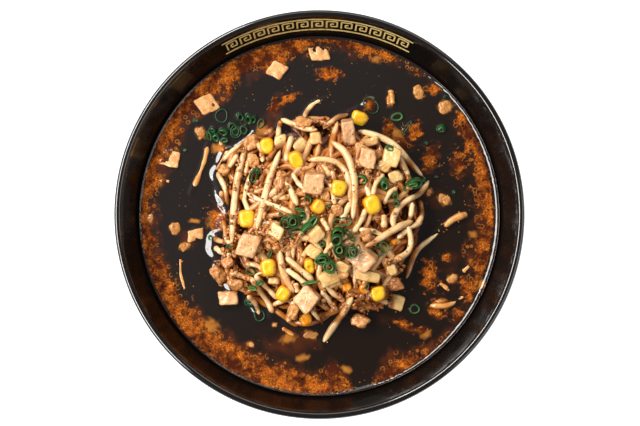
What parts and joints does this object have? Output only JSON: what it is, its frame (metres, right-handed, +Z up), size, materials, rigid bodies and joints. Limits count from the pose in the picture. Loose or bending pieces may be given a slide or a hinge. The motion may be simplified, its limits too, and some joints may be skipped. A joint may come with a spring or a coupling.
{
  "type": "ramen bowl",
  "caption": "Served ramen: a round black bowl of dark broth with a heap of bean sprouts, minced pork, sweetcorn and diced onion in the middle.",
  "frame": {"origin": "the middle of the face that the foot ring stands on", "axes": "+Z up along the bowl's axis; +X to the right and +Y away for someone who looks down on the bowl from its front"},
  "size_m": [0.2106, 0.2106, 0.0873],
  "materials": {
    "black_glaze": "high gloss",
    "broth": "wet",
    "bean_sprout": "moist",
    "pork": "moist",
    "onion": "moist",
    "sweetcorn": "glossy"
  },
  "bodies": {
    "root": {"bowl": "black_glaze", "broth": "broth", "sprout_heap": "bean_sprout", "corn_1": "sweetcorn", "corn_2": "sweetcorn", "corn_3": "sweetcorn", "corn_4": "sweetcorn", "corn_5": "sweetcorn", "corn_6": "sweetcorn", "corn_7": "sweetcorn", "corn_8": "sweetcorn", "corn_9": "sweetcorn", "corn_10": "sweetcorn", "corn_11": "sweetcorn", "pork_1": "pork", "pork_2": "pork", "pork_3": "pork", "pork_4": "pork", "pork_5": "pork", "pork_6": "pork", "pork_7": "pork", "onion_1": "onion", "onion_2": "onion", "onion_3": "onion", "onion_4": "onion", "onion_5": "onion", "floating_1": "pork", "floating_2": "pork", "floating_3": "pork", "floating_4": "pork", "floating_5": "pork"}
  },
  "joints": []
}
